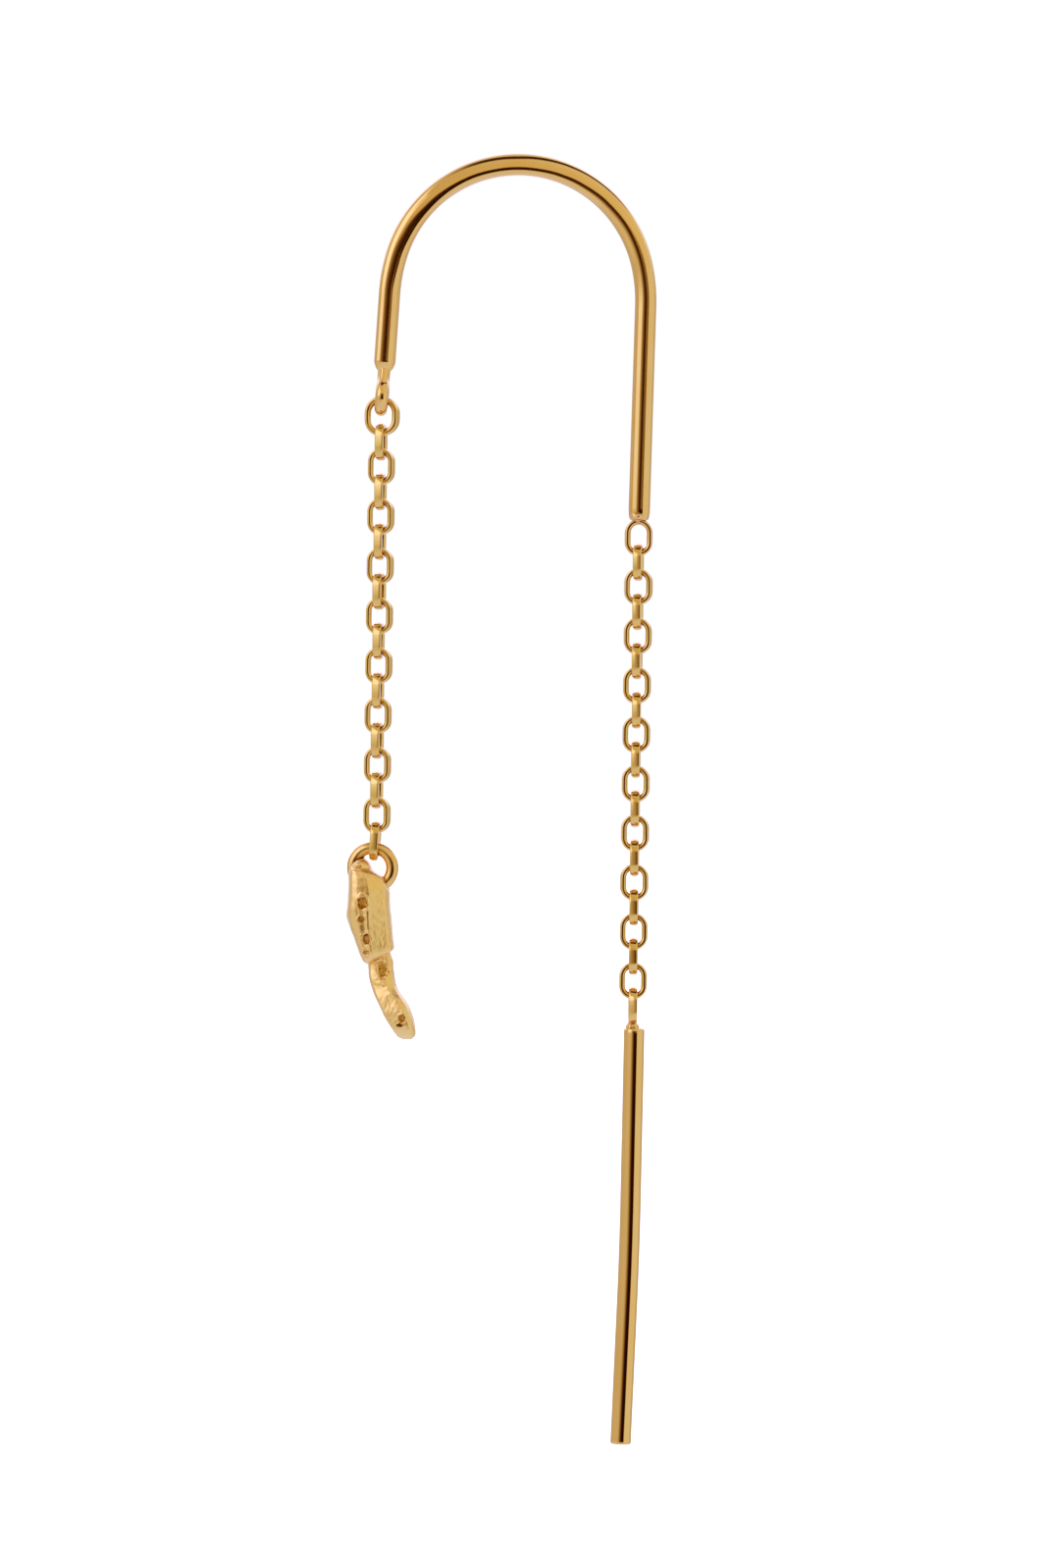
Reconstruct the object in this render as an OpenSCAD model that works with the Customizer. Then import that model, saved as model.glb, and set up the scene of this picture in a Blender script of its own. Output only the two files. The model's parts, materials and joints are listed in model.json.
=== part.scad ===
// Chain earring of the threader kind: a U-shaped ear arch with a short chain
// and a cast charm on its left end, and a long chain and a round bar on its
// right end. Millimetres. It hangs by the crown of the arch: X points right,
// Y away from the viewer and Z up, and the origin is the top of the arch
// wire's centre line, where the ear holds it.

/* [Ear arch] */
// Thickness of the arch wire at its crown
crown_wire_d = 0.97; // [0.95:0.01:1.05]
// Thickness of the arch wire in its legs
leg_wire_d = 0.94; // [0.85:0.01:0.94]
// Radius of the crown, to the middle of the wire
crown_r = 5.45; // [5:0.05:6]
// Angle of the crown to the left of its top
crown_left_deg = 72; // [68:1:76]
// Angle of the crown to the right of its top
crown_right_deg = 78; // [74:1:82]
// Radius of the slacker bends below the crown
shoulder_r = 7.5; // [7:0.1:8.5]
// Lean of the left leg outwards
left_lean_deg = 4; // [2:0.5:6]
// Lean of the right leg inwards
right_lean_deg = 1.8; // [0:0.2:3]
// Straight length of the left leg, with its taper and its neck
left_leg_l = 3.88; // [3:0.02:5]
// Straight length of the right leg, with its taper
right_leg_l = 9.2; // [8:0.1:10]
// Length of the slim neck at the left end
left_neck_l = 0.56; // [0.3:0.02:0.7]
// Length of the filed taper above the neck
left_taper_l = 0.3; // [0.2:0.02:0.5]
// Length of the filed taper at the right end
right_taper_l = 0.5; // [0.3:0.05:0.8]
// Thickness of the neck
left_neck_d = 0.6; // [0.56:0.01:0.7]
// Thickness of the wire at the end of the right taper
right_taper_d = 0.74; // [0.6:0.02:0.85]

/* [Soldered loop] */
// Thickness of the loop's wire
loop_wire_d = 0.57; // [0.5:0.01:0.6]
// Radius of the loop, to the middle of the wire
loop_mid_r = 0.56; // [0.52:0.01:0.6]
// Lean of the loop outwards
loop_lean_deg = 5; // [3:1:8]

/* [Chain links] */
// Width inside a link of the short chain
short_inner_w = 0.63; // [0.62:0.005:0.7]
// Width inside a link of the long chain
long_inner_w = 0.68; // [0.62:0.005:0.75]
// Length inside a link
link_inner_l = 1.095; // [1.05:0.005:1.2]
// Width of the flattened wire, across the link's plane
link_wire_w = 0.38; // [0.34:0.01:0.4]
// Thickness of the flattened wire
link_wire_t = 0.26; // [0.25:0.005:0.29]
// Gap between neighbours of the short chain
short_gap = 0.025; // [0.02:0.001:0.04]
// Gap between neighbours of the long chain
long_gap = 0.035; // [0.02:0.001:0.05]
// Links of the short chain
short_links = 17; // [17:2:17]
// Links of the long chain
long_links = 18; // [18:2:18]
// Turn of the short chain about its length
short_twist_deg = -10; // [-12:1:0]
// Turn of the long chain about its length at its top, which fades out down to the bar
long_twist_deg = -7; // [-10:1:0]
// Lean of both chains to the left
chain_lean_deg = 0.73; // [0:0.01:1]

/* [Last short link] */
// Length inside the last link of the short chain, which the jump ring has stretched
last_inner_l = 1.2; // [1.1:0.01:1.25]
// Turn of the last link about its length
last_twist_deg = -3; // [-6:1:0]
// Lean of the last link to the left
last_lean_deg = 4; // [0:0.5:5]

/* [Top ring] */
// Width inside the top ring
top_ring_inner_w = 0.92; // [0.8:0.02:1]
// Length inside the top ring
top_ring_inner_l = 1.18; // [1.04:0.02:1.2]
// Width of its wire
top_ring_wire_w = 0.36; // [0.3:0.01:0.4]
// Thickness of its wire
top_ring_wire_t = 0.29; // [0.24:0.01:0.3]

/* [Jump ring] */
// Thickness of the jump ring's wire
jump_wire_d = 0.55; // [0.5:0.01:0.56]
// Radius of the jump ring, to the middle of its wire
jump_mid_r = 0.86; // [0.85:0.01:0.9]
// Angle from the ring's top to the point where it hangs on the chain
jump_hang_deg = 8; // [4:1:15]

/* [Charm] */
// Gap between the jump ring and its tunnel through the charm
charm_gap = 0.06; // [0.05:0.01:0.08]
// Squareness of the charm's back, where 2 is an ellipse
charm_back_n = 2.4; // [2:0.1:3]
// Squareness of its front to the left of the ridge
charm_left_n = 2.8; // [2:0.1:3]
// Squareness of its front to the right of the ridge
charm_right_n = 2.4; // [1.5:0.1:3]

/* [Bar] */
// Thickness of the bar
bar_d = 0.9; // [0.8:0.02:1]
// Length of the bar
bar_l = 17.9; // [15:0.1:20]
// Length of its straight upper part
bar_upper_l = 7.3; // [5:0.1:9]
// Length of the slight bend below it
bar_bend_l = 4.4; // [2:0.1:6]
// Lean of the upper part to the left
bar_lean_deg = 1.23; // [0:0.01:2]
// Angle of the bend, further to the left
bar_bend_deg = 1.43; // [0.5:0.01:2]
// Bevel round the bar's free end
bar_bevel = 0.06; // [0.04:0.01:0.1]
// Distance from the loop's lower end down to the bar
bar_drop = 0.17; // [0.1:0.01:0.2]
// Shift of the bar's top end to the right of the loop
bar_shift = 0.065; // [0:0.005:0.1]

/* [Hidden] */
$fn = 48;
wire_lap = 0.02;
bend_undersize = 0.01;
solder_overlap = 0.06;
bar_solder_base_d = 0.66;
bar_solder_top_d = 0.34;
bar_solder_sink = 0.05;
bar_solder_rise = 0.09;
gold = [0.86, 0.67, 0.36];
charm_sides = 24;

shoulder_wire_d = (crown_wire_d + leg_wire_d) / 2;
link_outer_l = link_inner_l + 2 * link_wire_t;
short_pitch = link_inner_l - short_gap;
long_pitch = link_inner_l - long_gap;
bar_bend_r = bar_bend_l / bar_bend_deg * 180 / PI;
bar_lower_l = bar_l - bar_upper_l - bar_bend_l;

// The charm's two lobes in sections, from the top down. Each section's plane
// holds the line from its left to its right end, as seen from the front, and
// X and Z are counted from the jump ring's centre. Columns: left x, left z,
// right x, right z, middle y, half depth, rise from the front to the back.
upper_lobe = [
    [-0.60, 0.43, -0.40, 0.43, 0.05, 0.40, 0.2],
    [-0.72, 0.36, -0.28, 0.36, 0.03, 0.58, 0.15],
    [-0.87, 0.21, -0.12, 0.18, 0.08, 0.72, 0.08],
    [-0.95, 0.06, -0.01, -0.03, 0.12, 0.80, 0.02],
    [-0.98, 0.00, 0.05, -0.11, 0.03, 0.92, 0],
    [-1.00, -0.08, 0.14, -0.18, -0.01, 1.00, 0],
    [-1.03, -0.28, 0.42, -0.36, -0.01, 1.07, 0],
    [-1.05, -0.50, 0.59, -0.58, -0.01, 1.13, 0],
    [-1.06, -0.98, 0.74, -1.00, 0.00, 1.20, 0],
    [-1.10, -1.52, 0.76, -1.54, 0.00, 1.25, 0],
    [-1.13, -1.97, 0.81, -2.00, 0.00, 1.25, 0],
    [-1.03, -2.46, 0.85, -2.50, -0.02, 1.23, 0],
    [-0.80, -3.08, 0.90, -3.04, -0.07, 1.16, 0],
    [-0.59, -3.66, 0.94, -3.36, -0.13, 1.06, 0],
    [-0.42, -4.03, 0.92, -3.50, -0.16, 0.92, 0],
    [-0.18, -4.18, 0.76, -3.64, -0.16, 0.66, 0],
];
tail_lobe = [
    [-0.25, -3.60, 0.62, -3.30, 0.02, 0.48, 0],
    [-0.20, -4.25, 0.87, -3.95, 0.04, 0.66, 0],
    [-0.18, -4.70, 0.95, -4.62, 0.01, 0.77, 0],
    [-0.03, -5.20, 1.08, -5.18, -0.10, 0.82, 0],
    [0.19, -5.75, 1.40, -5.63, -0.25, 0.83, 0],
    [0.54, -6.44, 1.70, -6.22, -0.43, 0.81, 0],
    [0.85, -6.94, 1.85, -6.84, -0.52, 0.70, 0],
    [1.10, -7.26, 1.86, -7.18, -0.52, 0.50, 0],
    [1.34, -7.37, 1.66, -7.36, -0.52, 0.24, 0],
];

// Places along the chains
crown_centre = [0, 0, -crown_r];
left_bend_centre = bend_centre(-1, crown_left_deg);
right_bend_centre = bend_centre(1, crown_right_deg);
left_end = leg_end(-1, crown_left_deg, 90 - left_lean_deg, left_leg_l);
right_end = leg_end(1, crown_right_deg, 90 + right_lean_deg, right_leg_l);
loop_axis = [-sin(loop_lean_deg), 0, -cos(loop_lean_deg)];
loop_centre = left_end + loop_mid_r * loop_axis;
loop_seat = loop_centre + (loop_mid_r - loop_wire_d / 2) * loop_axis;
chain_down = [-sin(chain_lean_deg), 0, -cos(chain_lean_deg)];
top_ring_centre = loop_seat + (top_ring_inner_l / 2 - short_gap) * chain_down;
first_short_centre = top_ring_centre
    + (top_ring_inner_l / 2 - short_gap + link_inner_l / 2) * chain_down;
last_down = [-sin(last_lean_deg), 0, -cos(last_lean_deg)];
last_link_centre = short_centre(short_links - 1)
    + (link_inner_l / 2 - short_gap) * chain_down + last_inner_l / 2 * last_down;
charm_pivot = last_link_centre + (last_inner_l / 2 + link_wire_w / 2) * last_down;
jump_hang_r = jump_mid_r - jump_wire_d / 2 - link_wire_w / 2 - short_gap;
jump_centre = charm_pivot + jump_hang_r * turned([-sin(jump_hang_deg), 0, -cos(jump_hang_deg)]);
end_link_centre = right_end + (link_outer_l / 2 - solder_overlap) * chain_down;
bar_loop_centre = long_centre(long_links + 1);
bar_top = bar_loop_centre + [bar_shift, 0, -link_outer_l / 2 - bar_drop];

function bend_centre(side, crown_deg) =
    crown_centre + (crown_r - shoulder_r) * [side * sin(crown_deg), 0, cos(crown_deg)];

function leg_end(side, crown_deg, end_deg, leg_l) =
    bend_centre(side, crown_deg)
    + shoulder_r * [side * sin(end_deg), 0, cos(end_deg)]
    + leg_l * [side * cos(end_deg), 0, -sin(end_deg)];

function short_centre(i) = first_short_centre + (i - 1) * short_pitch * chain_down;
function long_centre(i) = end_link_centre + i * long_pitch * chain_down;
function long_turn(i) = 90 * (i % 2) + long_twist_deg * (1 - i / (long_links + 1));

// A direction of the hanging short chain, in the earring's own axes
function turned(v) =
    let (x = v.x * cos(short_twist_deg) - v.y * sin(short_twist_deg),
         y = v.x * sin(short_twist_deg) + v.y * cos(short_twist_deg))
    [x * cos(chain_lean_deg) + v.z * sin(chain_lean_deg), y,
     -x * sin(chain_lean_deg) + v.z * cos(chain_lean_deg)];

function two_digits(i) = i < 10 ? str("0", i) : str(i);
function short_name(i) = str("short_link_", two_digits(i));
function long_name(i) = str("long_link_", two_digits(i));

// Stretch of round wire bent in the front plane, angles as seen from the front
module bent_wire(centre, r, from_deg, sweep_deg, wire_d) {
    translate(centre)
        rotate([90, 0, 0])
            rotate([0, 0, from_deg])
                rotate_extrude(angle = sweep_deg)
                    translate([r, 0])
                        circle(d = wire_d);
}

// Shoulder between the crown and a leg, with its end lapped into the crown
module shoulder(centre, from_deg, sweep_deg) {
    lap_deg = wire_lap / shoulder_r * 180 / PI * sign(sweep_deg);
    bent_wire(centre, shoulder_r, from_deg - lap_deg, sweep_deg + lap_deg, shoulder_wire_d);
}

// Leg of the arch that ends at a point, lapped into the shoulder, with its filed
// taper and, where it has one, the slim neck below that
module leg(end, lean_deg, leg_l, taper_l, taper_d, neck_l = 0) {
    translate(end)
        rotate([0, lean_deg, 0]) {
            translate([0, 0, neck_l + taper_l])
                cylinder(h = leg_l - neck_l - taper_l + wire_lap, d = leg_wire_d);
            translate([0, 0, neck_l])
                cylinder(h = taper_l, d1 = taper_d, d2 = leg_wire_d);
            if (neck_l > 0)
                cylinder(h = neck_l, d = taper_d);
        }
}

// Half-round wire: round towards the inside of the link, flat outside
module wire_section(inner_w, wire_w, wire_t) {
    translate([inner_w / 2, 0])
        intersection() {
            translate([wire_w / 2, 0])
                circle(d = wire_w);
            translate([0, -wire_w / 2])
                square([wire_t, wire_w]);
        }
}

// Link with round ends and straight sides, upright in the front plane
module oval_link(inner_w, inner_l, wire_w, wire_t) {
    side_l = inner_l - inner_w;
    for (turn = [0, 180])
        rotate([0, turn, 0]) {
            translate([0, 0, side_l / 2])
                rotate([90, 0, 0])
                    rotate_extrude(angle = 180)
                        wire_section(inner_w, wire_w, wire_t);
            translate([0, 0, -side_l / 2])
                linear_extrude(height = side_l)
                    wire_section(inner_w, wire_w, wire_t);
        }
}

module chain_link(centre, turn_deg, inner_w) {
    translate(centre)
        rotate([0, chain_lean_deg, 0])
            rotate([0, 0, turn_deg])
                oval_link(inner_w, link_inner_l, link_wire_w, link_wire_t);
}

module jump_ring_shape(wire_d) {
    translate(jump_centre)
        rotate([0, chain_lean_deg, 0])
            rotate([0, 0, short_twist_deg])
                bent_wire([0, 0, 0], jump_mid_r, 0, 360, wire_d);
}

// Coordinate of a squared circle: n = 2 is round, more is squarer
function squared(c, n) = sign(c) * pow(abs(c), 2 / n);

function lobe_point(row, t) =
    let (n = sin(t) > 0 ? charm_back_n : cos(t) < 0 ? charm_left_n : charm_right_n,
         across = (1 + squared(cos(t), n)) / 2,
         depth = row[5] * squared(sin(t), n))
    [row[0] + (row[2] - row[0]) * across,
     row[4] + depth,
     row[1] + (row[3] - row[1]) * across + row[6] * depth];

// Body lofted through the rows of a lobe, closed by its end sections
module lobe(rows) {
    last = len(rows) - 1;
    points = [for (row = rows) for (k = [0:charm_sides - 1]) lobe_point(row, 360 * k / charm_sides)];
    sides = [
        for (i = [0:last - 1]) for (k = [0:charm_sides - 1])
            let (a = i * charm_sides + k, b = i * charm_sides + (k + 1) % charm_sides)
            each [[a, b, a + charm_sides], [b, b + charm_sides, a + charm_sides]]
    ];
    top = [for (k = [charm_sides - 1:-1:0]) k];
    bottom = [for (k = [0:charm_sides - 1]) last * charm_sides + k];
    polyhedron(points = points, faces = concat([top], sides, [bottom]));
}

module ear_arch() {
    color(gold) {
        bent_wire(crown_centre, crown_r, 90 - crown_right_deg,
            crown_left_deg + crown_right_deg, crown_wire_d);
        shoulder(left_bend_centre, 90 + crown_left_deg, 90 - left_lean_deg - crown_left_deg);
        shoulder(right_bend_centre, 90 - crown_right_deg, crown_right_deg - right_lean_deg - 90);
        leg(left_end, left_lean_deg, left_leg_l, left_taper_l, left_neck_d, left_neck_l);
        leg(right_end, right_lean_deg, right_leg_l, right_taper_l, right_taper_d);
        translate(loop_centre)
            rotate([0, loop_lean_deg, 0])
                rotate([0, 90, 0])
                    rotate_extrude(angle = 360)
                        translate([loop_mid_r, 0])
                            circle(d = loop_wire_d);
        chain_link(end_link_centre, 0, long_inner_w);
    }
}

module top_ring() {
    color(gold)
        translate(top_ring_centre)
            rotate([0, chain_lean_deg, 0])
                rotate([0, 0, short_twist_deg])
                    oval_link(top_ring_inner_w, top_ring_inner_l, top_ring_wire_w, top_ring_wire_t);
}

module short_link(i) {
    color(gold)
        if (i < short_links)
            chain_link(short_centre(i), short_twist_deg + 90 * (i % 2), short_inner_w);
        else
            translate(last_link_centre)
                rotate([0, last_lean_deg, 0])
                    rotate([0, 0, last_twist_deg + 90])
                        oval_link(short_inner_w, last_inner_l, link_wire_w, link_wire_t);
}

module jump_ring() {
    color(gold)
        jump_ring_shape(jump_wire_d);
}

module charm() {
    color(gold)
        difference() {
            translate(jump_centre) {
                lobe(upper_lobe);
                lobe(tail_lobe);
            }
            jump_ring_shape(jump_wire_d + 2 * charm_gap);
        }
}

module long_link(i) {
    color(gold)
        chain_link(long_centre(i), long_turn(i), long_inner_w);
}

// Round bar along +Z from the origin, slightly bent towards +X, with its end bevelled
module bent_bar() {
    lap_deg = wire_lap / bar_bend_r * 180 / PI;
    cylinder(h = bar_upper_l, d = bar_d);
    bent_wire([bar_bend_r, 0, bar_upper_l], bar_bend_r, 180 - bar_bend_deg - lap_deg,
        bar_bend_deg + 2 * lap_deg, bar_d - bend_undersize);
    translate([bar_bend_r, 0, bar_upper_l])
        rotate([0, bar_bend_deg, 0])
            translate([-bar_bend_r, 0, 0]) {
                cylinder(h = bar_lower_l - bar_bevel, d = bar_d);
                translate([0, 0, bar_lower_l - bar_bevel])
                    cylinder(h = bar_bevel, d1 = bar_d, d2 = bar_d - 2 * bar_bevel);
            }
}

module bar() {
    color(gold) {
        chain_link(bar_loop_centre, 90, long_inner_w);
        translate([bar_loop_centre.x, 0, bar_top.z - bar_solder_sink])
            cylinder(h = bar_solder_sink + bar_drop + bar_solder_rise,
                d1 = bar_solder_base_d, d2 = bar_solder_top_d);
        translate(bar_top)
            rotate([0, 180 + bar_lean_deg, 0])
                bent_bar();
    }
}

ear_arch();
top_ring();
for (i = [1:short_links])
    short_link(i);
jump_ring();
charm();
for (i = [1:long_links])
    long_link(i);
bar();
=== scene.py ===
import json
import random
from math import cos, degrees, pi, radians, sin, sqrt, tan

import bmesh
import bpy
from mathutils import Matrix, Vector, noise


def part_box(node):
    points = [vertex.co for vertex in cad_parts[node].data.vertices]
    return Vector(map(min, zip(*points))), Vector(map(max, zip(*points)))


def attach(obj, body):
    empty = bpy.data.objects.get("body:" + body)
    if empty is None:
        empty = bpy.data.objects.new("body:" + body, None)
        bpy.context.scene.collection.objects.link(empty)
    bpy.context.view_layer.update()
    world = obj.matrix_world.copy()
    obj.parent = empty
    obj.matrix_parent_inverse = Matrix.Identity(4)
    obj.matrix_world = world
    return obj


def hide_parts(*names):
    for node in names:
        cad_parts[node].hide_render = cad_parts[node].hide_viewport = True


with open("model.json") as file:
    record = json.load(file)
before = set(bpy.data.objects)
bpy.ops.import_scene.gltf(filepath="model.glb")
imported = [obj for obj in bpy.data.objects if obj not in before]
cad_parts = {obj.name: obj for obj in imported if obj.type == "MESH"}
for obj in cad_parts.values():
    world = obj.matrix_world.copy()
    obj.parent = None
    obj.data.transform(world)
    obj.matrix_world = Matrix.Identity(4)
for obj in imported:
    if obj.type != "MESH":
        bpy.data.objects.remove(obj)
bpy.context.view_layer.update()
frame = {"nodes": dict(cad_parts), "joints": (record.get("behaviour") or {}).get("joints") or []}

bl_info = {
    "name": "Chain earring",
    "version": (1, 0, 0),
    "blender": (4, 5, 0),
    "location": "3D View > Sidebar > Earring",
    "description": "Builds a chain earring with a cast charm and a round bar around its packed frame",
    "category": "Add Mesh",
}

MM = 0.001
TO_VIEWER = Vector((0, -1, 0))
LINK_NAMES = {
    kind: [name for name in frame["nodes"] if name.startswith(kind + "_link_")]
    for kind in ("short", "long")}
WIRE_SIDES = 64
JOINTS = {joint["name"]: joint for joint in frame["joints"]}


def length(name, about, default_mm):
    """A length in metres, with its default given in millimetres."""
    return bpy.props.FloatProperty(
        name=name, description=about, default=default_mm * MM, unit="LENGTH", precision=5)


def angle(name, about, default_deg):
    """An angle, with its default given in degrees."""
    return bpy.props.FloatProperty(
        name=name, description=about, default=radians(default_deg), subtype="ANGLE", unit="ROTATION")


def share(name, about, default):
    """A number between 0 and 1."""
    return bpy.props.FloatProperty(
        name=name, description=about, default=default, min=0.0, max=1.0, subtype="FACTOR")


def colour(name, about, default):
    """A linear colour."""
    return bpy.props.FloatVectorProperty(
        name=name, description=about, default=default, size=3, min=0.0, max=1.0, subtype="COLOR")


class ArchSizes(bpy.types.PropertyGroup):
    """Sizes of the ear arch, its soldered loop and its soldered end link."""

    crown_r: length("Crown radius", "Radius of the crown, to the middle of the wire", 5.45)
    crown_left: angle("Crown left", "Angle of the crown to the left of its top", 72)
    crown_right: angle("Crown right", "Angle of the crown to the right of its top", 78)
    shoulder_r: length("Shoulder radius", "Radius of the slacker bends below the crown", 7.5)
    left_lean: angle("Left lean", "Lean of the left leg outwards", 4)
    right_lean: angle("Right lean", "Lean of the right leg inwards", 1.8)
    left_leg: length("Left leg", "Straight length of the left leg", 3.88)
    right_leg: length("Right leg", "Straight length of the right leg", 9.2)
    crown_wire: length("Crown wire", "Thickness of the wire at the crown", 0.97)
    leg_wire: length("Leg wire", "Thickness of the wire in the legs", 0.94)
    left_neck: length("Left neck", "Length of the slim neck at the left end", 0.56)
    left_taper: length("Left taper", "Length of the filed taper above the neck", 0.36)
    right_taper: length("Right taper", "Length of the filed taper at the right end", 0.5)
    left_neck_wire: length("Left neck wire", "Thickness of the wire in the neck", 0.55)
    right_tip_wire: length("Right tip", "Thickness of the wire at the end of the right taper", 0.74)
    loop_wire: length("Loop wire", "Thickness of the soldered loop's wire", 0.57)
    loop_r: length("Loop radius", "Radius of the loop, to the middle of its wire", 0.56)
    loop_lean: angle("Loop lean", "Lean of the loop outwards", 5)


class ChainSizes(bpy.types.PropertyGroup):
    """Sizes of the chains' links and of the top ring."""

    short_inner_w: length("Short link width", "Width inside a link of the short chain", 0.63)
    long_inner_w: length("Long link width", "Width inside a link of the long chain", 0.68)
    inner_l: length("Link length", "Length inside a link", 1.095)
    last_inner_l: length("Last link length", "Length inside the last short link", 1.2)
    wire_w: length("Wire width", "Width of the flattened wire", 0.38)
    wire_t: length("Wire thickness", "Thickness of the flattened wire", 0.26)
    lean: angle("Chain lean", "Lean of both chains to the left", 0.73)
    short_twist: angle("Short twist", "Turn of the short chain about its length", -10)
    long_twist: angle("Long twist", "Turn of the long chain at its top, gone at the bar", -7)
    last_twist: angle("Last twist", "Turn of the last short link", -3)
    last_lean: angle("Last lean", "Lean of the last short link", 4)
    short_tilt: angle("Short tilt", "Tilt of the outer face of the short chain's wire", 12)
    long_tilt: angle("Long tilt", "Tilt of the outer face of the long chain's wire", 11)
    bar_tilt: angle("Bar link tilt", "Tilt of the outer face of the bar's link", 18)
    ring_tilt: angle("Top ring tilt", "Tilt of the outer face of the top ring's wire", -18)
    wobble: angle("Wobble", "Largest turn of a link out of its row", 2)
    ring_inner_w: length("Top ring width", "Width inside the top ring", 0.92)
    ring_inner_l: length("Top ring length", "Length inside the top ring", 1.18)
    ring_wire_w: length("Top ring wire width", "Width of the top ring's wire", 0.36)
    ring_wire_t: length("Top ring wire thickness", "Thickness of the top ring's wire", 0.29)


class CharmSizes(bpy.types.PropertyGroup):
    """Sizes of the charm and of the jump ring that carries it."""

    jump_wire: length("Jump ring wire", "Thickness of the jump ring's wire", 0.55)
    jump_r: length("Jump ring radius", "Radius of the jump ring, to the middle of its wire", 0.86)
    tunnel_gap: length("Tunnel gap", "Gap between the jump ring and its tunnel", 0.06)
    grain_depth: length("Cast grain", "Depth of the casting's softened hammer marks", 0.02)


class BarSizes(bpy.types.PropertyGroup):
    """Sizes of the round bar."""

    thickness: length("Thickness", "Thickness of the bar", 0.9)
    upper_l: length("Upper part", "Length of the straight upper part", 7.3)
    bend_l: length("Bend", "Length of the slight bend", 4.4)
    lower_l: length("Lower part", "Length of the straight lower part", 6.2)
    lean: angle("Lean", "Lean of the upper part to the left", 1.23)
    bend: angle("Bend angle", "Further lean of the lower part", 1.43)
    bevel: length("Bevel", "Bevel round the free end", 0.06)
    drop: length("Drop", "Distance from the loop's lower end down to the bar", 0.17)
    shift: length("Shift", "Shift of the bar's top end to the right of the loop", 0.065)


class GoldFinish(bpy.types.PropertyGroup):
    """Colours and polish of the gold plate."""

    plate: colour("Gold plate", "Colour of the polished plate", (0.92, 0.59, 0.2))
    deep: colour("Deep gold", "Colour of the plate where it lies thick", (0.88, 0.52, 0.14))
    solder: colour("Solder", "Colour of the plated solder joints", (0.9, 0.58, 0.23))
    # Tint of the painted shade that darkens recesses and the places where links cross; the cast skin also
    # takes it as its deep colour
    painted_recess_shade: colour("Recess", "Tint of the plate deep in recesses and where links cross", (0.31, 0.2, 0.09))
    chain: colour("Chain plate", "Colour of the plate on the chains", (0.87, 0.57, 0.16))
    cast: colour("Cast plate", "Colour of the plate on the casting", (1.0, 0.69, 0.25))
    cast_deep: colour("Deep cast", "Colour of the casting's plate where it lies thick", (0.98, 0.61, 0.18))
    # The cast skin's colour is partly the unpolished skin and partly painted shade, darker in the dents
    skin: colour("Cast skin and shade", "Colour of the unpolished skin in the casting's pits", (0.84, 0.45, 0.06))
    wire_roughness: share("Wire roughness", "Roughness of the drawn wire", 0.08)
    chain_roughness: share("Chain roughness", "Roughness of the chain links", 0.08)
    cast_roughness: share("Cast roughness", "Roughness of the casting", 0.27)


class StudioSetup(bpy.types.PropertyGroup):
    """The camera, the floor and the soft studio light."""

    lens: bpy.props.FloatProperty(
        name="Lens", description="Focal length of the camera in millimetres", default=120.0)
    picture_h: length("Picture height", "Height of the picture at the earring", 67.5)
    centre_x: length("Centre across", "Middle of the picture, to the right", 0.19)
    centre_z: length("Centre up", "Middle of the picture, upwards", -26.66)
    floor_drop: length("Floor drop", "Depth of the floor below the ear", 62)
    floor_size: length("Floor size", "Width of the floor", 6000)


# Plain geometry, in millimetres

def mm(value):
    """A size in metres as millimetres."""
    return value / MM


def squared(c, n):
    """Coordinate of a squared circle: n = 2 is round, more is squarer."""
    return (1 if c > 0 else -1) * abs(c) ** (2 / n)


def clamped(t):
    """The number within 0 to 1."""
    return min(max(t, 0.0), 1.0)


def smooth(low, high, value):
    """0 below low, 1 above high and a smooth step between them."""
    t = clamped((value - low) / (high - low))
    return t * t * (3 - 2 * t)


def mixed(a, b, t):
    """The value at share t of the way from a to b."""
    return a + (b - a) * t


def rounded(t):
    """A quarter of a circle from 0 at t = 0 to 1 at t = 1."""
    return sqrt(1 - (1 - clamped(t)) ** 2)


def down(lean):
    """Downward direction that leans to the left."""
    return Vector((-sin(lean), 0, -cos(lean)))


def circle(count):
    """Cosine and sine of even steps round a circle."""
    turns = [2 * pi * k / count for k in range(count)]
    return [(cos(turn), sin(turn)) for turn in turns]


def placing(centre, lean, turn):
    """The matrix that turns a mesh about its upright axis, leans it in the front plane and moves it."""
    return Matrix.Translation(centre) @ Matrix.Rotation(lean, 4, "Y") @ Matrix.Rotation(turn, 4, "Z")


def box_centre(node):
    """Middle of a CAD node's box, in millimetres."""
    low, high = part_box(node)
    return (Vector(low) + Vector(high)) / 2 / MM


def tube_mesh(name, rings, closed=False):
    """A mesh in millimetres over rings of points, capped at its ends unless closed."""
    sides = len(rings[0])
    points = [tuple(point) for ring in rings for point in ring]
    faces = []
    for i in range(len(rings) if closed else len(rings) - 1):
        here, there = i * sides, (i + 1) % len(rings) * sides
        for k in range(sides):
            n = (k + 1) % sides
            faces.append((here + k, here + n, there + n, there + k))
    if not closed:
        faces.append(tuple(range(sides - 1, -1, -1)))
        faces.append(tuple(range(len(points) - sides, len(points))))
    mesh = bpy.data.meshes.new(name)
    mesh.from_pydata(points, [], faces)
    work = bmesh.new()
    work.from_mesh(mesh)
    bmesh.ops.recalc_face_normals(work, faces=work.faces)
    work.to_mesh(mesh)
    work.free()
    return mesh


def between(rows, at):
    """The rest of a row, worked out between two rows whose first number lies around a value."""
    at = min(max(at, rows[0][0]), rows[-1][0])
    for low, high in zip(rows, rows[1:]):
        if at <= high[0]:
            t = smooth(low[0], high[0], at)
            return [mixed(a, b, t) for a, b in zip(low[1:], high[1:])]


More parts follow.
